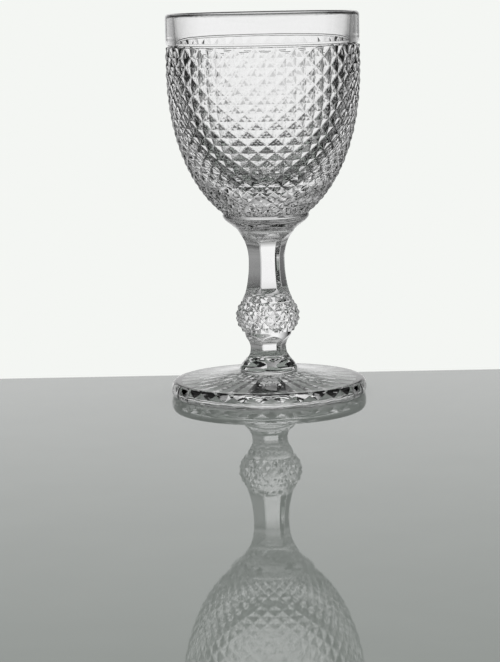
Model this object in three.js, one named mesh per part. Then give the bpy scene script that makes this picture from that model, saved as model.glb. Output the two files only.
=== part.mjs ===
// A pressed-glass goblet: a diamond-point bowl on a six-sided stem with a ball knop and a round foot.
// Millimetres, +Z up, the origin on the table at the middle of the foot.
import * as THREE from "three";

// Heights of the pieces, in the order they stand on each other
const FOOT_HEIGHT = 10.5;
const LOWER_STEM_HEIGHT = 18.1;
const KNOP_HEIGHT = 13.5;
const MIDDLE_STEM_HEIGHT = 18.3;
const UPPER_STEM_HEIGHT = 13.4;
const COLLAR_HEIGHT = 7.8;
const BOWL_HEIGHT = 88.4;

// Radii that two neighbouring pieces share where they meet
const BOSS_RADIUS = 13.0;
const KNOP_NECK_BELOW_RADIUS = 10.5;
const KNOP_NECK_ABOVE_RADIUS = 11.5;
const STEM_WAIST_RADIUS = 8.28;
const COLLAR_NECK_RADIUS = 12.6;
const COLLAR_RADIUS = 19.3;

// Bowl: a plain band at the rim over a belly of points, hollow inside
const BELLY_RADIUS = 43.1;
const BELLY_HEIGHT = 65.9;
const BELLY_BEND = 2.2;
const BAND_STEP = 0.35;
const BAND_HEIGHT = 13.4;
const BAND_GROOVE_HEIGHT = 1.2;
const BAND_GROOVE_DEPTH = 0.9;
const BAND_GROOVE_FLOOR = [0.25, 0.6];
const RIM_WALL = 3.6;
const RIM_ROUNDING = 1.7;
const BOTTOM_THICKNESS = 14.7;
const INSIDE_TAPER = 0.07;
const INSIDE_BEND = 3.2;
const INSIDE_FULLNESS = 0.45;

// Diamond points: how many stand side by side, how many half rows, how deep
const BOWL_POINTS = 30;
const BOWL_HALF_ROWS = 23;
const BOWL_ROW_GROWTH = 1.0157;
const BOWL_POINT_DEPTH = 0.95;
const KNOP_RADIUS = 14.4;
const KNOP_CURVE_HEIGHT = 15.5;
const KNOP_POINTS = 18;
const KNOP_HALF_ROWS = 5;
const KNOP_POINT_DEPTH = 1.1;

// Six-sided stem: how it swells from its waist, and its short lower length with the boss
const STEM_FLATS = 6;
const UPPER_SWELL = 2.15;
const MIDDLE_SWELL = 2.2;
const LOWER_WAIST_RADIUS = 8.23;
const LOWER_WAIST_HEIGHT = 10.6;
const BOSS_LIP = 1.0;
const BOSS_LIP_BEVEL = 0.4;

// Foot: a low cone with a rounded edge, rays pressed into its underside
const FOOT_RADIUS = 43.8;
const FOOT_EDGE_HEIGHT = 6.8;
const FOOT_EDGE_ROUNDING = 3.6;
const FOOT_SEAT_MARGIN = 1.2;
const REST_RING_INSET = 1.8;
const REST_RING_WIDTH = 2.8;
const REST_RING_BEVEL = 0.3;
const RAYS = 30;
const RAY_DEPTH = 3.0;
const RAY_RECESS = 0.6;
const HUB_RADIUS = 9.0;
const HUB_BEVEL = 0.5;
const HUB_RECESS = 2.4;

// Where the flats of the stem begin and end, as shares of the length they fade out over
const UPPER_FLATS_FADE = [0.45, 0.9];
const MIDDLE_FLATS_FADE = [0, 0.22];
const BOSS_FLATS_FADE = [0.4, 0.7];
const NECK_FLATS_FADE = [0.1, 0.5];

// How far the handles of the swelling curves reach, as shares of the curve's height
const COLLAR_HANDLES = [0.36, 0.46];
const BOSS_HANDLES = [0.41, 0.56];
const BOSS_HANDLE_WIDTH = 0.8;
const NECK_HANDLES = [0.45, 0.5];

// The flats and points of every piece are lined up, turned this far from straight ahead
const PATTERN_TURN = 13.3;

// Fineness of the round forms
const STEPS_PER_FLAT = 10;
const ROUND_STEPS = STEM_FLATS * STEPS_PER_FLAT;
const RIM_STEPS = 6;
const INSIDE_STEPS = 14;
const COLLAR_STEPS = 9;
const STEM_STEPS = 10;
const BOSS_STEPS = 8;
const NECK_STEPS = 7;
const UNDER_EDGE_STEPS = 4;
const OVER_EDGE_STEPS = 5;

const LOWER_STEM_Z = FOOT_HEIGHT;
const KNOP_Z = LOWER_STEM_Z + LOWER_STEM_HEIGHT;
const MIDDLE_STEM_Z = KNOP_Z + KNOP_HEIGHT;
const UPPER_STEM_Z = MIDDLE_STEM_Z + MIDDLE_STEM_HEIGHT;
const COLLAR_Z = UPPER_STEM_Z + UPPER_STEM_HEIGHT;
const BOWL_Z = COLLAR_Z + COLLAR_HEIGHT;
const BAND_RADIUS = BELLY_RADIUS - BAND_STEP;

const { degToRad, lerp, smoothstep } = THREE.MathUtils;
const point2 = (radius, z) => new THREE.Vector2(radius, z);

// A ring of points around the axis. place(i, angle) gives each one's radius and height.
function ring(count, place) {
  const points = [];
  for (let i = 0; i < count; i += 1) {
    const angle = (i / count) * 2 * Math.PI;
    const { x: radius, y: z } = place(i, angle);
    points.push(new THREE.Vector3(radius * Math.sin(angle), -radius * Math.cos(angle), z));
  }
  return points;
}

// Plain round rings along a profile of radius and height
function roundRings(profile, count = ROUND_STEPS) {
  return profile.map((place) => ring(count, () => place));
}

// A closed skin over rings of equal count, from a point on the axis at bottomZ to one at topZ.
// Each four-cornered cell is folded along the diagonal that lies nearer the axis.
function skin(rings, bottomZ, topZ) {
  const count = rings[0].length;
  const corners = [new THREE.Vector3(0, 0, bottomZ), ...rings.flat(), new THREE.Vector3(0, 0, topZ)];
  const last = corners.length - 1;
  const reach = (index) => Math.hypot(corners[index].x, corners[index].y);
  const faces = [];
  for (let i = 0; i < count; i += 1) {
    const next = (i + 1) % count;
    faces.push(0, 1 + next, 1 + i);
    faces.push(last, last - count + i, last - count + next);
    for (let k = 0; k + 1 < rings.length; k += 1) {
      const low = 1 + k * count;
      const [a, b] = [low + i, low + next];
      const [c, d] = [a + count, b + count];
      if (reach(b) + reach(c) <= reach(a) + reach(d)) {
        faces.push(a, b, c, b, d, c);
      } else {
        faces.push(a, b, d, a, d, c);
      }
    }
  }
  const geometry = new THREE.BufferGeometry().setFromPoints(corners);
  geometry.setIndex(faces);
  geometry.computeVertexNormals();
  return geometry;
}

// Rings for a field of four-sided points over a profile that runs upward. Every second corner
// stands on the profile as a tip and the others lie sunk below it. The next ring is shifted by
// one corner, and each half row is growth times as tall as the one under it.
function pointedRings(profile, points, halfRows, growth, depth) {
  const rings = [];
  for (let row = 0; row <= halfRows; row += 1) {
    const along = growth === 1 ? row / halfRows : (growth ** row - 1) / (growth ** halfRows - 1);
    const tip = profile.getPointAt(along);
    const slope = profile.getTangentAt(along);
    const sunk = depth * growth ** (row - halfRows);
    const valley = point2(tip.x - slope.y * sunk, tip.y + slope.x * sunk);
    const tipIsEven = (halfRows - row) % 2 === 0;
    rings.push(ring(2 * points, (i) => ((i % 2 === 0) === tipIsEven ? tip : valley)));
  }
  return rings;
}

// Keeps a ring's corners in one plane, as where a field of points is cut off square
function level(points, z) {
  return points.map((corner) => corner.clone().setZ(z));
}

// Rings of a turned profile with flats pressed into it. sharpness(z) is 1 where the section is
// a full polygon and 0 where it is round.
function flattedRings(profile, sharpness) {
  const halfFlat = Math.PI / STEM_FLATS;
  return profile.map(({ x: radius, y: z }) => {
    const flat = radius * lerp(1, Math.cos(halfFlat), sharpness(z));
    return ring(ROUND_STEPS, (i, angle) => {
      const fromMiddle = ((angle + halfFlat) % (2 * halfFlat)) - halfFlat;
      return point2(Math.min(radius, flat / Math.cos(fromMiddle)), z);
    });
  });
}

// Outside of the bowl's belly, from the collar's edge up to the plain band. It is widest at
// BELLY_HEIGHT, and BELLY_BEND is the power of the height in its curve: an ellipse would have 2.
class BellyCurve extends THREE.Curve {
  constructor() {
    super();
    this.reach = BELLY_HEIGHT / (1 - (COLLAR_RADIUS / BELLY_RADIUS) ** 2) ** (1 / BELLY_BEND);
    this.fieldHeight = BOWL_HEIGHT - BAND_HEIGHT - BAND_GROOVE_HEIGHT;
  }

  getPoint(t) {
    const height = t * this.fieldHeight;
    const away = Math.abs(height - BELLY_HEIGHT) / this.reach;
    return point2(BELLY_RADIUS * Math.sqrt(1 - away ** BELLY_BEND), BOWL_Z + height);
  }
}

// Plain band, from the groove over the points up to the start of the rim
function bandProfile() {
  const bandZ = BOWL_Z + BOWL_HEIGHT - BAND_HEIGHT;
  const fieldZ = bandZ - BAND_GROOVE_HEIGHT;
  const floor = BAND_GROOVE_FLOOR.map((share) => {
    return point2(BAND_RADIUS - BAND_GROOVE_DEPTH, lerp(fieldZ, bandZ, share));
  });
  return [...floor, point2(BAND_RADIUS, bandZ)];
}

// Rounded rim, from the outside over to the inside
function rimProfile() {
  const middle = BAND_RADIUS - RIM_WALL / 2;
  const rimZ = BOWL_Z + BOWL_HEIGHT - RIM_ROUNDING;
  const rim = new THREE.EllipseCurve(middle, rimZ, RIM_WALL / 2, RIM_ROUNDING, 0, Math.PI);
  return rim.getPoints(RIM_STEPS);
}

// Inside of the bowl, from the rim down to the bottom: a tapered wall that rounds off into the bottom
function insideProfile() {
  const depth = BOWL_HEIGHT - RIM_ROUNDING - BOTTOM_THICKNESS;
  const profile = [];
  for (let i = 1; i < INSIDE_STEPS; i += 1) {
    const share = Math.sin((i / INSIDE_STEPS) * (Math.PI / 2));
    const wall = BAND_RADIUS - RIM_WALL - INSIDE_TAPER * share * depth;
    const radius = wall * (1 - share ** INSIDE_BEND) ** INSIDE_FULLNESS;
    profile.push(point2(radius, BOWL_Z + BOTTOM_THICKNESS + (1 - share) * depth));
  }
  return profile;
}

function bowl() {
  const outside = new BellyCurve();
  const belly = pointedRings(outside, BOWL_POINTS, BOWL_HALF_ROWS, BOWL_ROW_GROWTH, BOWL_POINT_DEPTH);
  belly[0] = level(belly[0], BOWL_Z);
  const plain = [...bandProfile(), ...rimProfile(), ...insideProfile()];
  const rings = [...belly, ...roundRings(plain, 2 * BOWL_POINTS)];
  return skin(rings, BOWL_Z, BOWL_Z + BOTTOM_THICKNESS);
}

// Rounded ring under the bowl that runs down into the neck of the stem
function bowlCollar() {
  const [reach, bend] = COLLAR_HANDLES.map((share) => share * COLLAR_HEIGHT);
  const neckSlope = (UPPER_SWELL * (COLLAR_NECK_RADIUS - STEM_WAIST_RADIUS)) / UPPER_STEM_HEIGHT;
  const profile = new THREE.CubicBezierCurve(
    point2(COLLAR_NECK_RADIUS, COLLAR_Z),
    point2(COLLAR_NECK_RADIUS + neckSlope * reach, COLLAR_Z + reach),
    point2(COLLAR_RADIUS, BOWL_Z - bend),
    point2(COLLAR_RADIUS, BOWL_Z),
  );
  return skin(roundRings(profile.getPoints(COLLAR_STEPS)), COLLAR_Z, BOWL_Z);
}

// Points of a stem that swells from its waist to a neck, as a power of the distance
function flare(waistZ, neckZ, neckRadius, swell) {
  const profile = [];
  for (let i = 0; i <= STEM_STEPS; i += 1) {
    const share = i / STEM_STEPS;
    const radius = lerp(STEM_WAIST_RADIUS, neckRadius, share ** swell);
    profile.push(point2(radius, lerp(waistZ, neckZ, share)));
  }
  return profile;
}

function upperStem() {
  const profile = flare(UPPER_STEM_Z, COLLAR_Z, COLLAR_NECK_RADIUS, UPPER_SWELL);
  const fade = UPPER_FLATS_FADE.map((share) => UPPER_STEM_Z + share * UPPER_STEM_HEIGHT);
  const rings = flattedRings(profile, (z) => 1 - smoothstep(z, ...fade));
  return skin(rings, UPPER_STEM_Z, COLLAR_Z);
}

function middleStem() {
  const profile = flare(UPPER_STEM_Z, MIDDLE_STEM_Z, KNOP_NECK_ABOVE_RADIUS, MIDDLE_SWELL).reverse();
  const fade = MIDDLE_FLATS_FADE.map((share) => MIDDLE_STEM_Z + share * MIDDLE_STEM_HEIGHT);
  const rings = flattedRings(profile, (z) => smoothstep(z, ...fade));
  return skin(rings, MIDDLE_STEM_Z, UPPER_STEM_Z);
}

// Ball of points between the two lengths of stem, cut off square above and below
function knop() {
  const middle = KNOP_Z + KNOP_HEIGHT / 2;
  const tilt = Math.asin(KNOP_HEIGHT / 2 / KNOP_CURVE_HEIGHT);
  const ball = new THREE.EllipseCurve(0, middle, KNOP_RADIUS, KNOP_CURVE_HEIGHT, -tilt, tilt);
  const rings = pointedRings(ball, KNOP_POINTS, KNOP_HALF_ROWS, 1, KNOP_POINT_DEPTH);
  rings[0] = level(rings[0], KNOP_Z);
  rings[KNOP_HALF_ROWS] = level(rings[KNOP_HALF_ROWS], KNOP_Z + KNOP_HEIGHT);
  return skin(rings, KNOP_Z, KNOP_Z + KNOP_HEIGHT);
}

// Short six-sided neck that spreads into a round boss with a rounded lip on the foot
function lowerStem() {
  const waist = point2(LOWER_WAIST_RADIUS, LOWER_STEM_Z + LOWER_WAIST_HEIGHT);
  const lipZ = LOWER_STEM_Z + BOSS_LIP;
  const below = waist.y - lipZ;
  const above = KNOP_Z - waist.y;
  const boss = new THREE.CubicBezierCurve(
    point2(BOSS_RADIUS, lipZ),
    point2(lerp(LOWER_WAIST_RADIUS, BOSS_RADIUS, BOSS_HANDLE_WIDTH), lipZ + BOSS_HANDLES[0] * below),
    point2(LOWER_WAIST_RADIUS, waist.y - BOSS_HANDLES[1] * below),
    waist,
  );
  const neck = new THREE.CubicBezierCurve(
    waist,
    point2(LOWER_WAIST_RADIUS, waist.y + NECK_HANDLES[0] * above),
    point2(KNOP_NECK_BELOW_RADIUS, KNOP_Z - NECK_HANDLES[1] * above),
    point2(KNOP_NECK_BELOW_RADIUS, KNOP_Z),
  );
  const lip = point2(BOSS_RADIUS - BOSS_LIP_BEVEL, LOWER_STEM_Z);
  const profile = [lip, ...boss.getPoints(BOSS_STEPS), ...neck.getPoints(NECK_STEPS).slice(1)];
  const bossFade = BOSS_FLATS_FADE.map((share) => lipZ + share * below);
  const neckFade = NECK_FLATS_FADE.map((share) => waist.y + share * above);
  const rings = flattedRings(profile, (z) => smoothstep(z, ...bossFade) * (1 - smoothstep(z, ...neckFade)));
  return skin(rings, LOWER_STEM_Z, KNOP_Z);
}

// Underside of the foot: a flat hub and rays that deepen outward to the rest ring
function rayRings(innerRadius) {
  const rings = [];
  for (const share of [0, 0.5, 1]) {
    const radius = lerp(HUB_RADIUS, innerRadius, share);
    const ridge = lerp(HUB_RECESS, RAY_RECESS, share);
    const valley = ridge + RAY_DEPTH * (radius / innerRadius);
    rings.push(ring(2 * RAYS, (i) => point2(radius, i % 2 === 0 ? valley : ridge)));
  }
  return rings;
}

function foot() {
  const ringRadius = FOOT_RADIUS - REST_RING_INSET;
  const innerRadius = ringRadius - REST_RING_WIDTH;
  const edgeZ = FOOT_EDGE_HEIGHT - FOOT_EDGE_ROUNDING;
  const edgeRadius = FOOT_RADIUS - FOOT_EDGE_ROUNDING;
  const seatRadius = BOSS_RADIUS + FOOT_SEAT_MARGIN;
  const topSlope = Math.atan2(FOOT_HEIGHT - FOOT_EDGE_HEIGHT, edgeRadius - seatRadius);
  const underEdge = new THREE.EllipseCurve(ringRadius, edgeZ, REST_RING_INSET, edgeZ, -Math.PI / 2, 0);
  const overEdge = new THREE.EllipseCurve(
    edgeRadius, edgeZ, FOOT_EDGE_ROUNDING, FOOT_EDGE_ROUNDING, 0, Math.PI / 2 - topSlope,
  );
  const hub = point2(HUB_RADIUS - HUB_BEVEL, HUB_RECESS);
  const ringInside = point2(innerRadius + REST_RING_BEVEL, 0);
  const edge = [...underEdge.getPoints(UNDER_EDGE_STEPS), ...overEdge.getPoints(OVER_EDGE_STEPS).slice(1)];
  const seat = point2(seatRadius, FOOT_HEIGHT);
  const count = 2 * RAYS;
  const rings = [
    ...roundRings([hub], count),
    ...rayRings(innerRadius),
    ...roundRings([ringInside, ...edge, seat], count),
  ];
  return skin(rings, HUB_RECESS, FOOT_HEIGHT);
}

function clearGlass() {
  return new THREE.MeshStandardMaterial({ color: 0xeef3f1, roughness: 0.04, metalness: 0 });
}

const glass = new THREE.Group();
glass.rotation.z = degToRad(PATTERN_TURN);
const pieces = {
  foot: foot(),
  lower_stem: lowerStem(),
  knop: knop(),
  middle_stem: middleStem(),
  upper_stem: upperStem(),
  bowl_collar: bowlCollar(),
  bowl: bowl(),
};
for (const [name, geometry] of Object.entries(pieces)) {
  const mesh = new THREE.Mesh(geometry, clearGlass());
  mesh.name = name;
  glass.add(mesh);
}

export default glass;
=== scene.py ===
"""A pressed-glass goblet on a pale table in a plain bright studio.

The seven pieces are built here as fine closed meshes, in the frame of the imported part. Sizes are in
millimetres, +Z up, and angles run around the axis from the camera's side towards +X.
"""

import math

import bpy
import numpy as np
from mathutils import Matrix


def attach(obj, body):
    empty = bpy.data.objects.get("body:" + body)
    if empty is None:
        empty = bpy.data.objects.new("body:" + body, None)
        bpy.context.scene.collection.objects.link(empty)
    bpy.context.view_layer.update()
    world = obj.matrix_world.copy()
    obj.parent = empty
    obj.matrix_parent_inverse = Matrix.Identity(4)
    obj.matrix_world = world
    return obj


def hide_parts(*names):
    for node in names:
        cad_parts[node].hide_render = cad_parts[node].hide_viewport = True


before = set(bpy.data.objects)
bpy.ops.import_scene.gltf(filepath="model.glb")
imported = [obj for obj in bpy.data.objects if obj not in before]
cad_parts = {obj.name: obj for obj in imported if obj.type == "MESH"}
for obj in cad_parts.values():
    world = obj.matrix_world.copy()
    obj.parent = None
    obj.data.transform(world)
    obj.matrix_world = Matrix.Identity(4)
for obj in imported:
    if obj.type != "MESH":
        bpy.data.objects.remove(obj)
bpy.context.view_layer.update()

# A millimetre in metres, the turn of the glass on its axis and the angle from which an edge is sharp
MM = 0.001
TURN = math.radians(13.3)
SHARP_ANGLE = math.radians(32)

# Heights at which the pieces meet
FOOT_TOP = 10.5
KNOP_BOTTOM = 28.6
KNOP_TOP = 42.1
WELD = 60.4
NECK = 73.8
BOWL_BOTTOM = 81.6
RIM = 170.0

# Bowl, outside: the belly that carries the points, then the groove, the plain band and the rim
COLLAR_RADIUS = 19.3
BOWL_JOINT_RADIUS = 18.0
BELLY_RADIUS = 43.1
BELLY_Z = 147.5
BELLY_BEND = 2.2
FIELD_Z = 155.4
GROOVE_DEPTH = 0.9
GROOVE_FLOOR = (0.25, 0.6)  # shares of the step from the field up to the band
BAND_RADIUS = 42.75
BAND_Z = 156.6
BAND_BEVEL = 0.15
BAND_BEVEL_BELOW = 0.1
BAND_BEVEL_ABOVE = 0.2
BAND_MARGIN_BELOW = 1.0
BAND_MARGIN_ABOVE = 0.5
RIM_ROUNDING = 1.7

# Bowl, inside: a tapered wall that rounds into a thick bottom
RIM_WALL = 3.6
INSIDE_TAPER = 0.07
INSIDE_BOTTOM = 96.3
INSIDE_BEND = 3.2
INSIDE_FULLNESS = 0.45

# Fields of points. Groove and blunt top are shares of a point's half width
BOWL_POINTS = dict(count=30, half_rows=23, growth=1.0157, depth=0.86, groove=0.1, blunt=0.12)
KNOP_POINTS = dict(count=18, half_rows=5, growth=1, depth=1.0, groove=0.08, blunt=0.1)

# Stem. Handles of its curves and ends of its flats are shares of the stretch that they shape
SIDES = 6
STEM_WAIST_RADIUS = 8.28
NECK_RADIUS = 12.6
UPPER_STEM_BEND = 2.15
UPPER_FLATS_END = (0.68, 1.0)
MIDDLE_STEM_BEND = 2.2
MIDDLE_FLATS_START = 0.22
COLLAR_HANDLES = (0.36, 0.46)
COLLAR_EDGE = 0.35
KNOP_NECK_ABOVE = 11.4
KNOP_NECK_BELOW = 10.5
KNOP_RADIUS = 14.5
KNOP_CURVE_HEIGHT = 11.5
LOWER_WAIST_RADIUS = 8.23
LOWER_WAIST_Z = 21.1
NECK_HANDLES = (0.45, 0.5)
NECK_FLATS_END = (0.45, 0.85)
BOSS_RADIUS = 13.0
BOSS_SHOULDER = 0.8
BOSS_HANDLES = (0.41, 0.56)
BOSS_FLATS_START = (0.4, 0.7)
BOSS_LIP = 0.5
BOSS_LIP_Z = 11.5
EDGE_ROUNDING = 0.45
EDGE_DEGREES = (0, 0.5, 1, 1.5, 2, 2.6, 3.4, 4.5, 6, 8, 10.5, 13, 16, 19, 22, 25, 28)

# Foot
FOOT_RADIUS = 43.8
EDGE_TOP = 6.8
EDGE_ROUNDNESS = 3.6
EDGE_WIDTH = 2.2
TOP_BEND = 1.5
SEAT_MARGIN = 1.2
RING_OUTSIDE = 42.0
RING_INSIDE = 39.2
RING_BEVEL = 0.3
RAYS = 30
RAY_DEPTH = 1.6
RAY_BEND = 2
RAY_RECESS = 2.6
HUB_RADIUS = 9.0
HUB_BEVEL = 0.5
HUB_RECESS = 5.5

# How finely the round stretches are divided
ROUND_STEPS = 240
FIELD_STEPS = 500
BAND_STEPS = 8
RIM_STEPS = 21
INSIDE_STEPS = 130
COLLAR_STEPS = 36
UPPER_STEM_STEPS = 48
MIDDLE_STEM_STEPS = 60
KNOP_STEPS = 300
NECK_STEPS = 32
BOSS_STEPS = 40
LIP_STEPS = 8
RAY_STEPS = 9
UNDER_EDGE_STEPS = 14
OVER_EDGE_STEPS = 20
TOP_STEPS = 24

# Plain light that the camera sees all around and that lights the table
WALL_LIGHT = (0.905, 0.922, 0.896, 1)

# Light that the glass sees, as degrees and brightness: walls by direction and height, and the ceiling
AROUND = ((-180, 0.6), (-84, 0.65), (-70, 0), (-50, 0), (-16, 1), (14, 0.94), (26, 0.32), (38, 0.3),
          (50, 0), (70, 0), (84, 0.65), (180, 0.6))
UPWARD = ((-90, 0), (-46, 0), (-36, 0.12), (-27, 0.72), (-16, 0.95), (10, 1), (18, 0.45), (27, 0.18),
          (90, 0.18))
CEILING = ((-90, 0.05), (-58, 0.18), (-50, 0), (18, 0), (26, 0.35), (34, 0.16), (90, 0.2))
LIGHT_BOUNCES = 32

# Table: its sides in metres and the two tones of its faint grain
TABLE_SIDES = dict(left=-0.9, right=0.9, front=-1.6, back=0.052)
TABLE_TONES = ((0.312, 0.338, 0.321, 1), (0.338, 0.364, 0.347, 1))

# Camera: place in metres, turns in degrees, lens and sensor in millimetres
CAMERA_DISTANCE = 1.024
CAMERA_HEIGHT = 0.1823
CAMERA_PITCH = 8.55
CAMERA_YAW = 0.454
CAMERA_ROLL = -1.18
CAMERA_LENS = 125.5
CAMERA_SENSOR = 36

ROUND = np.linspace(0, 2 * math.pi, ROUND_STEPS, endpoint=False)


class Skin:
    """A closed mesh put together from rings of points around the axis."""

    def __init__(self):
        self.points = []
        self.angles = []
        self.faces = []
        self.smooth = []
        self.fused = []

    def point(self, radius, angle, z):
        around = angle + TURN
        self.points.append((radius * math.sin(around) * MM, -radius * math.cos(around) * MM, z * MM))
        self.angles.append(angle % (2 * math.pi))
        return len(self.points) - 1

    def ring(self, radius, z, angles=ROUND):
        return [self.point(radius, angle, z) for angle in angles]

    def face(self, corners, smooth, fused=False):
        self.faces.append(corners)
        self.smooth.append(smooth)
        self.fused.append(fused)

    def bridge(self, low, high, smooth):
        """Joins two rings of equal count with four-cornered faces."""
        for i, corner in enumerate(low):
            j = (i + 1) % len(low)
            self.face((corner, low[j], high[j], high[i]), smooth)

    def stack(self, rings, smooth=True):
        for low, high in zip(rings, rings[1:]):
            self.bridge(low, high, smooth)

    def sew(self, low, high):
        """Joins two rings of any count with flat triangles, in the order of their angles."""
        low, high = (sorted(loop, key=lambda i: self.angles[i]) for loop in (low, high))
        low_angles = [self.angles[i] for i in low] + [self.angles[low[0]] + 2 * math.pi]
        high_angles = [self.angles[i] for i in high] + [self.angles[high[0]] + 2 * math.pi]
        i = j = 0
        while i < len(low) or j < len(high):
            a, b = low[i % len(low)], high[j % len(high)]
            if j == len(high) or (i < len(low) and low_angles[i + 1] <= high_angles[j + 1]):
                i += 1
                self.face((a, low[i % len(low)], b), smooth=False)
            else:
                j += 1
                self.face((a, high[j % len(high)], b), smooth=False)

    def close(self, ring, z, up, fused=False, smooth=False):
        """Closes a ring with a fan around a point on the axis."""
        middle = self.point(0, 0, z)
        for i, corner in enumerate(ring):
            other = ring[(i + 1) % len(ring)]
            self.face((middle, corner, other) if up else (middle, other, corner), smooth, fused)

    def piece(self, name, materials):
        """Makes the object that stands for a node. Smooth faces are marked after the sharp edges."""
        mesh = bpy.data.meshes.new(name + "_glass")
        mesh.from_pydata(self.points, [], self.faces)
        mesh.set_sharp_from_angle(angle=SHARP_ANGLE)
        mesh.polygons.foreach_set("use_smooth", self.smooth)
        mesh.polygons.foreach_set("material_index", [int(fused) for fused in self.fused])
        for material in materials:
            mesh.materials.append(material)
        mesh.update()
        piece = bpy.data.objects.new(name + "_glass", mesh)
        bpy.context.scene.collection.objects.link(piece)
        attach(piece, "root")
        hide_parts(name)


class Curve:
    """A profile of radius and height, measured along its length from 0 to 1."""

    def __init__(self, radii, heights):
        self.radii, self.heights = np.asarray(radii, float), np.asarray(heights, float)
        steps = np.hypot(np.diff(self.radii), np.diff(self.heights))
        self.along = np.concatenate(([0], np.cumsum(steps))) / steps.sum()

    def at(self, share):
        return np.interp(share, self.along, self.radii), np.interp(share, self.along, self.heights)

    def outward(self, share, reach=0.002):
        """Unit step away from the axis, square to the profile."""
        r0, z0 = self.at(max(share - reach, 0))
        r1, z1 = self.at(min(share + reach, 1))
        length = math.hypot(r1 - r0, z1 - z0)
        return (z1 - z0) / length, (r0 - r1) / length


def ellipse(radius, z, width, height, start, end, steps):
    turn = np.linspace(start, end, steps)
    return radius + width * np.cos(turn), z + height * np.sin(turn)


def bezier(points, steps):
    t = np.linspace(0, 1, steps)[:, None]
    a, b, c, d = np.asarray(points, float)
    curve = (1 - t) ** 3 * a + 3 * (1 - t) ** 2 * t * b + 3 * (1 - t) * t**2 * c + t**3 * d
    return curve[:, 0], curve[:, 1]


def fade(x, start, end):
    """Rises softly from 0 at the start to 1 at the end."""
    t = min(max((x - start) / (end - start), 0), 1)
    return t * t * (3 - 2 * t)


def diamonds(skin, curve, count, half_rows, growth, depth, groove, blunt):
    """A field of blunt four-sided points with narrow flat grooves between them.

    Returns the lowest and the highest loop of corners. The first row, and the last one too, is cut
    through its points.
    """
    steps = {"east": (0, 1), "north": (1, 0), "west": (0, -1), "south": (-1, 0)}

    def corner(row, column, height):
        share = row / half_rows
        if growth != 1:
            share = (growth**row - 1) / (growth**half_rows - 1)
        radius, z = curve.at(share)
        out_r, out_z = curve.outward(share)
        sunk = (1 - height) * depth * growth ** (row - half_rows)
        if row not in (0, half_rows):
            z = z - out_z * sunk
        return skin.point(radius - out_r * sunk, column * math.pi / count, z)

    cells = {}
    for row in range(half_rows + 1):
        for column in range(2 * count):
            if (column + half_rows - row) % 2:
                continue
            cell = {}
            for side, (up, right) in steps.items():
                if not 0 <= row + up <= half_rows:
                    continue
                base = 1 - groove
                cell[side] = corner(row + up * base, column + right * base, 0)
                cell[side + "_top"] = corner(row + up * blunt, column + right * blunt, 1 - blunt / base)
            cells[row, column] = cell

    def find(row, column):
        return cells.get((row, column % (2 * count)))

    order = list(steps)
    for (row, column), cell in cells.items():
        sides = [side for side in order if side in cell]
        for side, other in zip(order, order[1:] + order[:1]):
            if side in cell and other in cell:
                skin.face((cell[side], cell[other], cell[other + "_top"], cell[side + "_top"]), False)
        skin.face(tuple(cell[side + "_top"] for side in sides), False)
        right, left = find(row + 1, column + 1), find(row + 1, column - 1)
        if right:
            skin.face((cell["east"], right["south"], right["west"], cell["north"]), False)
            skin.face((cell["north"], left["east"], left["south"], cell["west"]), False)
    for row in range(half_rows + 1):
        for column in range(2 * count):
            if (row, column) in cells:
                continue
            around = (
                (find(row, column + 1), "west"),
                (find(row + 1, column), "south"),
                (find(row, column - 1), "east"),
                (find(row - 1, column), "north"),
            )
            skin.face(tuple(cell[side] for cell, side in around if cell), False)

    def loop(row):
        names = ("west", "west_top", "east_top", "east")
        return [cells[at][name] for at in sorted(cells) if at[0] == row for name in names]

    return loop(0), loop(half_rows)


def stem_angles():
    """Angles around a six-sided stem, closer together at its edges."""
    half = 180 / SIDES
    sector = {0} | {half - d for d in EDGE_DEGREES} | {d - half for d in EDGE_DEGREES[1:]}
    return [math.radians(2 * half * side + d) for side in range(SIDES) for d in sorted(sector)]


STEM = stem_angles()


def six_sided(radius, sharpness, angle):
    """Reach of a section between round (0) and six flats with slightly rounded edges (1)."""
    half = math.pi / SIDES
    flat = radius * (1 - sharpness * (1 - math.cos(half)))
    from_middle = (angle + half) % (2 * half) - half
    from_edge = half - abs(from_middle)
    heart = (flat - EDGE_ROUNDING) / math.cos(half)
    rounded = math.atan2(EDGE_ROUNDING * math.sin(half), heart + EDGE_ROUNDING * math.cos(half))
    if from_edge < rounded:
        aside = heart * math.sin(from_edge)
        reach = heart * math.cos(from_edge) + math.sqrt(EDGE_ROUNDING**2 - aside**2)
    else:
        reach = flat / math.cos(from_middle)
    return min(radius, reach)


def stem_skin(radii, heights, sharpness):
    """A stretch of stem, fused to its neighbours at both ends."""
    skin = Skin()
    rings = [
        [skin.point(six_sided(radius, sharpness(z), angle), angle, z) for angle in STEM]
        for radius, z in zip(radii, heights)
    ]
    skin.stack(rings)
    skin.close(rings[0], heights[0], up=False, fused=True)
    skin.close(rings[-1], heights[-1], up=True, fused=True)
    return skin


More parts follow.
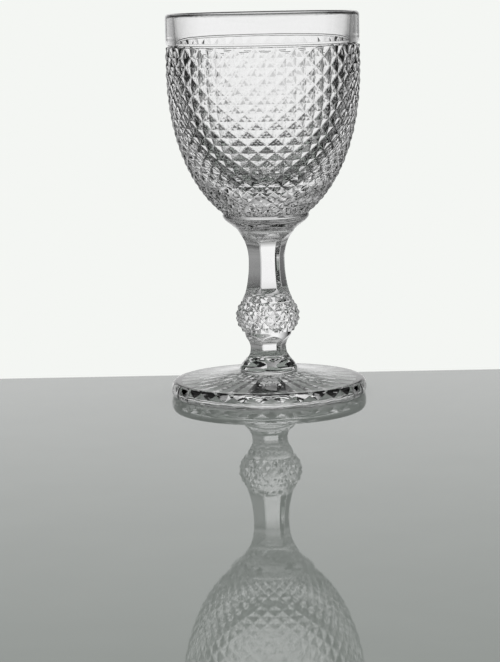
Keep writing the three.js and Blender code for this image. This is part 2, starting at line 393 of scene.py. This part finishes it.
def bowl():
    reach = (BELLY_Z - BOWL_BOTTOM) / (1 - (COLLAR_RADIUS / BELLY_RADIUS) ** 2) ** (1 / BELLY_BEND)
    heights = np.linspace(BOWL_BOTTOM, FIELD_Z, FIELD_STEPS)
    from_belly = np.abs(heights - BELLY_Z) / reach
    belly = Curve(BELLY_RADIUS * np.sqrt(1 - from_belly**BELLY_BEND), heights)
    skin = Skin()
    low, high = diamonds(skin, belly, **BOWL_POINTS)
    joint = skin.ring(BOWL_JOINT_RADIUS, BOWL_BOTTOM)
    skin.sew(joint, low)
    skin.close(joint, BOWL_BOTTOM, up=False, fused=True)

    groove = BAND_RADIUS - GROOVE_DEPTH
    groove_low, groove_high = (FIELD_Z + part * (BAND_Z - FIELD_Z) for part in GROOVE_FLOOR)
    floor = skin.ring(groove, groove_low)
    skin.sew(high, floor)
    rim_z = RIM - RIM_ROUNDING
    rim_radius = BAND_RADIUS - RIM_WALL / 2
    outside = [
        (groove, groove_high),
        (BAND_RADIUS - BAND_BEVEL, BAND_Z - BAND_BEVEL_BELOW),
        (BAND_RADIUS, BAND_Z + BAND_BEVEL_ABOVE),
    ]
    straight = np.linspace(BAND_Z + BAND_MARGIN_BELOW, rim_z - BAND_MARGIN_ABOVE, BAND_STEPS)
    outside += [(BAND_RADIUS, z) for z in straight]
    outside += zip(*ellipse(rim_radius, rim_z, RIM_WALL / 2, RIM_ROUNDING, 0, math.pi, RIM_STEPS))
    share = np.sin(np.linspace(0, math.pi / 2, INSIDE_STEPS))[1:-1]
    down = (rim_z - INSIDE_BOTTOM) * share
    cone = BAND_RADIUS - RIM_WALL - INSIDE_TAPER * down
    inside = list(zip(cone * (1 - share**INSIDE_BEND) ** INSIDE_FULLNESS, rim_z - down))
    rings = [floor] + [skin.ring(radius, z) for radius, z in outside + inside]
    skin.stack(rings)
    skin.close(rings[-1], INSIDE_BOTTOM, up=True, smooth=True)
    return skin


def bowl_collar():
    height = BOWL_BOTTOM - NECK
    slope = UPPER_STEM_BEND * (NECK_RADIUS - STEM_WAIST_RADIUS) / (NECK - WELD)
    reach = COLLAR_HANDLES[0] * height
    radii, heights = bezier(
        [
            (NECK_RADIUS, NECK),
            (NECK_RADIUS + slope * reach, NECK + reach),
            (COLLAR_RADIUS, BOWL_BOTTOM - COLLAR_HANDLES[1] * height),
            (COLLAR_RADIUS, BOWL_BOTTOM - 2 * COLLAR_EDGE),
        ],
        COLLAR_STEPS,
    )
    radii = np.append(radii, [COLLAR_RADIUS - COLLAR_EDGE, BOWL_JOINT_RADIUS])
    heights = np.append(heights, [BOWL_BOTTOM - COLLAR_EDGE, BOWL_BOTTOM])
    return stem_skin(radii, heights, lambda z: 0)


def upper_stem():
    share = np.linspace(0, 1, UPPER_STEM_STEPS)
    radii = STEM_WAIST_RADIUS + (NECK_RADIUS - STEM_WAIST_RADIUS) * share**UPPER_STEM_BEND
    length = NECK - WELD
    start, end = (WELD + part * length for part in UPPER_FLATS_END)
    return stem_skin(radii, WELD + share * length, lambda z: 1 - fade(z, start, end))


def middle_stem():
    share = np.linspace(1, 0, MIDDLE_STEM_STEPS)
    radii = STEM_WAIST_RADIUS + (KNOP_NECK_ABOVE - STEM_WAIST_RADIUS) * share**MIDDLE_STEM_BEND
    length = WELD - KNOP_TOP
    end = KNOP_TOP + MIDDLE_FLATS_START * length
    return stem_skin(radii, WELD - share * length, lambda z: fade(z, KNOP_TOP, end))


def knop():
    middle = (KNOP_TOP + KNOP_BOTTOM) / 2
    tilt = math.asin((KNOP_TOP - middle) / KNOP_CURVE_HEIGHT)
    ball = Curve(*ellipse(0, middle, KNOP_RADIUS, KNOP_CURVE_HEIGHT, -tilt, tilt, KNOP_STEPS))
    skin = Skin()
    low, high = diamonds(skin, ball, **KNOP_POINTS)
    below = skin.ring(KNOP_NECK_BELOW, KNOP_BOTTOM, STEM)
    above = skin.ring(KNOP_NECK_ABOVE, KNOP_TOP, STEM)
    skin.sew(below, low)
    skin.sew(high, above)
    skin.close(below, KNOP_BOTTOM, up=False, fused=True)
    skin.close(above, KNOP_TOP, up=True, fused=True)
    return skin


def lower_stem():
    below = LOWER_WAIST_Z - BOSS_LIP_Z
    above = KNOP_BOTTOM - LOWER_WAIST_Z
    shoulder = LOWER_WAIST_RADIUS + BOSS_SHOULDER * (BOSS_RADIUS - LOWER_WAIST_RADIUS)
    boss = bezier(
        [
            (BOSS_RADIUS, BOSS_LIP_Z),
            (shoulder, BOSS_LIP_Z + BOSS_HANDLES[0] * below),
            (LOWER_WAIST_RADIUS, LOWER_WAIST_Z - BOSS_HANDLES[1] * below),
            (LOWER_WAIST_RADIUS, LOWER_WAIST_Z),
        ],
        BOSS_STEPS,
    )
    neck = bezier(
        [
            (LOWER_WAIST_RADIUS, LOWER_WAIST_Z),
            (LOWER_WAIST_RADIUS, LOWER_WAIST_Z + NECK_HANDLES[0] * above),
            (KNOP_NECK_BELOW, KNOP_BOTTOM - NECK_HANDLES[1] * above),
            (KNOP_NECK_BELOW, KNOP_BOTTOM),
        ],
        NECK_STEPS,
    )
    lip_turn = (-math.pi / 2, math.pi / 3)
    lip = ellipse(BOSS_RADIUS - BOSS_LIP, BOSS_LIP_Z - BOSS_LIP, BOSS_LIP, BOSS_LIP, *lip_turn, LIP_STEPS)
    radii = np.concatenate((lip[0], boss[0][1:], neck[0][1:]))
    heights = np.concatenate((lip[1], boss[1][1:], neck[1][1:]))
    boss_start, boss_end = (BOSS_LIP_Z + part * below for part in BOSS_FLATS_START)
    neck_start, neck_end = (LOWER_WAIST_Z + part * above for part in NECK_FLATS_END)

    def sharpness(z):
        return fade(z, boss_start, boss_end) * (1 - fade(z, neck_start, neck_end))

    return stem_skin(radii, heights, sharpness)


def foot():
    skin = Skin()
    corners = np.linspace(0, 2 * math.pi, 2 * RAYS, endpoint=False)
    rays = []
    for share in np.linspace(0, 1, RAY_STEPS):
        radius = HUB_RADIUS + share * (RING_INSIDE - HUB_RADIUS)
        ridge = HUB_RECESS + share * (RAY_RECESS - HUB_RECESS)
        valley = ridge + RAY_DEPTH * (radius / RING_INSIDE) ** RAY_BEND
        rays.append([skin.point(radius, a, ridge if i % 2 else valley) for i, a in enumerate(corners)])
    hub = skin.ring(HUB_RADIUS - HUB_BEVEL, HUB_RECESS, corners)
    skin.close(hub, HUB_RECESS, up=False)
    skin.bridge(hub, rays[0], smooth=False)
    skin.stack(rays, smooth=False)

    quarter = math.pi / 2
    edge_z = EDGE_TOP - EDGE_ROUNDNESS
    edge_radius = FOOT_RADIUS - EDGE_WIDTH
    seat = BOSS_RADIUS + SEAT_MARGIN
    under = ellipse(RING_OUTSIDE, edge_z, FOOT_RADIUS - RING_OUTSIDE, edge_z, -quarter, 0, UNDER_EDGE_STEPS)
    over = ellipse(edge_radius, edge_z, EDGE_WIDTH, EDGE_ROUNDNESS, 0, quarter, OVER_EDGE_STEPS)
    profile = [(RING_INSIDE + RING_BEVEL, 0), (RING_OUTSIDE, 0)]
    profile += list(zip(*under))[1:] + list(zip(*over))[1:]
    for share in np.linspace(0, 1, TOP_STEPS)[1:]:
        rise = (FOOT_TOP - EDGE_TOP) * share**TOP_BEND
        profile.append((edge_radius + share * (seat - edge_radius), EDGE_TOP + rise))
    profile.append((BOSS_RADIUS - BOSS_LIP, FOOT_TOP))
    rings = [skin.ring(radius, z) for radius, z in profile]
    skin.sew(rays[-1], rings[0])
    skin.stack(rings)
    skin.close(rings[-1], FOOT_TOP, up=True, fused=True)
    return skin


def clear_glass():
    """Clear pressed glass with a faintly wavy fire-polished skin."""
    material = bpy.data.materials.new("clear_glass")
    material.use_nodes = True
    tree = material.node_tree
    shader = tree.nodes["Principled BSDF"]
    shader.inputs["Base Color"].default_value = (1, 1, 1, 1)
    shader.inputs["Transmission Weight"].default_value = 1
    shader.inputs["IOR"].default_value = 1.52
    coords = tree.nodes.new("ShaderNodeTexCoord")
    waves = tree.nodes.new("ShaderNodeTexNoise")
    waves.inputs["Scale"].default_value = 130
    waves.inputs["Detail"].default_value = 1
    bump = tree.nodes.new("ShaderNodeBump")
    bump.inputs["Strength"].default_value = 0.015
    bump.inputs["Distance"].default_value = 0.001
    rough = tree.nodes.new("ShaderNodeMapRange")
    rough.inputs["To Min"].default_value = 0
    rough.inputs["To Max"].default_value = 0.004
    tree.links.new(coords.outputs["Object"], waves.inputs["Vector"])
    tree.links.new(waves.outputs["Fac"], bump.inputs["Height"])
    tree.links.new(bump.outputs["Normal"], shader.inputs["Normal"])
    tree.links.new(waves.outputs["Fac"], rough.inputs["Value"])
    tree.links.new(rough.outputs["Result"], shader.inputs["Roughness"])
    return material


def fused_joint():
    """Where two pieces are fused the glass runs on without a surface."""
    material = bpy.data.materials.new("fused_joint")
    material.use_nodes = True
    shader = material.node_tree.nodes["Principled BSDF"]
    shader.inputs["Alpha"].default_value = 0
    return material


def table_top():
    """Smooth pale glaze with a faint grain."""
    material = bpy.data.materials.new("table_top")
    material.use_nodes = True
    tree = material.node_tree
    shader = tree.nodes["Principled BSDF"]
    shader.inputs["Roughness"].default_value = 0.02
    shader.inputs["IOR"].default_value = 1.5
    coords = tree.nodes.new("ShaderNodeTexCoord")
    grain = tree.nodes.new("ShaderNodeTexNoise")
    grain.inputs["Scale"].default_value = 30
    tones = tree.nodes.new("ShaderNodeValToRGB")
    for element, tone in zip(tones.color_ramp.elements, TABLE_TONES):
        element.color = tone
    tree.links.new(coords.outputs["Object"], grain.inputs["Vector"])
    tree.links.new(grain.outputs["Fac"], tones.inputs["Fac"])
    tree.links.new(tones.outputs["Color"], shader.inputs["Base Color"])
    return material


def table(left, right, front, back):
    mesh = bpy.data.meshes.new("table")
    corners = [(left, front, 0), (right, front, 0), (right, back, 0), (left, back, 0)]
    mesh.from_pydata(corners, [], [(0, 1, 2, 3)])
    mesh.materials.append(table_top())
    top = bpy.data.objects.new("table", mesh)
    bpy.context.scene.collection.objects.link(top)


def studio():
    """A wide soft wall behind the glass, another behind the camera, dark sides and a dim ceiling.

    Only the glass and the mirror in the table see them. The camera sees plain light all around, and
    the table is lit by it.
    """
    world = bpy.data.worlds.new("studio")
    bpy.context.scene.world = world
    world.use_nodes = True
    tree = world.node_tree
    background = tree.nodes["Background"]

    def math_node(operation, *inputs):
        made = tree.nodes.new("ShaderNodeMath")
        made.operation = operation
        for socket, value in zip(made.inputs, inputs):
            tree.links.new(value, socket)
        return made.outputs[0]

    def ramp(angle, stops):
        """Brightness by an angle, straight from stop to stop."""
        first, last = stops[0][0], stops[-1][0]
        share = tree.nodes.new("ShaderNodeMapRange")
        tree.links.new(angle, share.inputs["Value"])
        share.inputs["From Min"].default_value = math.radians(first)
        share.inputs["From Max"].default_value = math.radians(last)
        made = tree.nodes.new("ShaderNodeValToRGB")
        tree.links.new(share.outputs["Result"], made.inputs["Fac"])
        elements = made.color_ramp.elements
        for number, (degrees, light) in enumerate(stops):
            place = (degrees - first) / (last - first)
            element = elements[number] if number < 2 else elements.new(place)
            element.position = place
            element.color = (light, light, light, 1)
        return made.outputs["Color"]

    coords = tree.nodes.new("ShaderNodeTexCoord")
    parts = tree.nodes.new("ShaderNodeSeparateXYZ")
    tree.links.new(coords.outputs["Generated"], parts.inputs["Vector"])
    around = math_node("ARCTAN2", parts.outputs["X"], parts.outputs["Y"])
    upward = math_node("ARCSINE", parts.outputs["Z"])
    walls = math_node("MULTIPLY", ramp(around, AROUND), ramp(upward, UPWARD))
    room = math_node("ADD", walls, ramp(upward, CEILING))
    path = tree.nodes.new("ShaderNodeLightPath")
    plain = math_node("MAXIMUM", path.outputs["Is Camera Ray"], path.outputs["Diffuse Depth"])
    seen = tree.nodes.new("ShaderNodeMixRGB")
    tree.links.new(plain, seen.inputs["Fac"])
    tree.links.new(room, seen.inputs["Color1"])
    seen.inputs["Color2"].default_value = WALL_LIGHT
    tree.links.new(seen.outputs["Color"], background.inputs["Color"])


def camera():
    pitch, yaw, roll = (math.radians(turn) for turn in (CAMERA_PITCH, CAMERA_YAW, CAMERA_ROLL))
    data = bpy.data.cameras.new("camera")
    data.lens = CAMERA_LENS
    data.sensor_width = CAMERA_SENSOR
    made = bpy.data.objects.new("camera", data)
    bpy.context.scene.collection.objects.link(made)
    aimed = Matrix.Rotation(yaw, 4, "Z") @ Matrix.Rotation(math.pi / 2 - pitch, 4, "X")
    turned = aimed @ Matrix.Rotation(roll, 4, "Z")
    made.matrix_world = Matrix.Translation((0, -CAMERA_DISTANCE, CAMERA_HEIGHT)) @ turned
    bpy.context.scene.camera = made


glass = [clear_glass(), fused_joint()]
for build in (foot, lower_stem, knop, middle_stem, upper_stem, bowl_collar, bowl):
    build().piece(build.__name__, glass)
table(**TABLE_SIDES)
studio()
camera()

scene = bpy.context.scene
scene.view_settings.view_transform = "Standard"
scene.cycles.max_bounces = LIGHT_BOUNCES
scene.cycles.transmission_bounces = LIGHT_BOUNCES
scene.cycles.transparent_max_bounces = LIGHT_BOUNCES
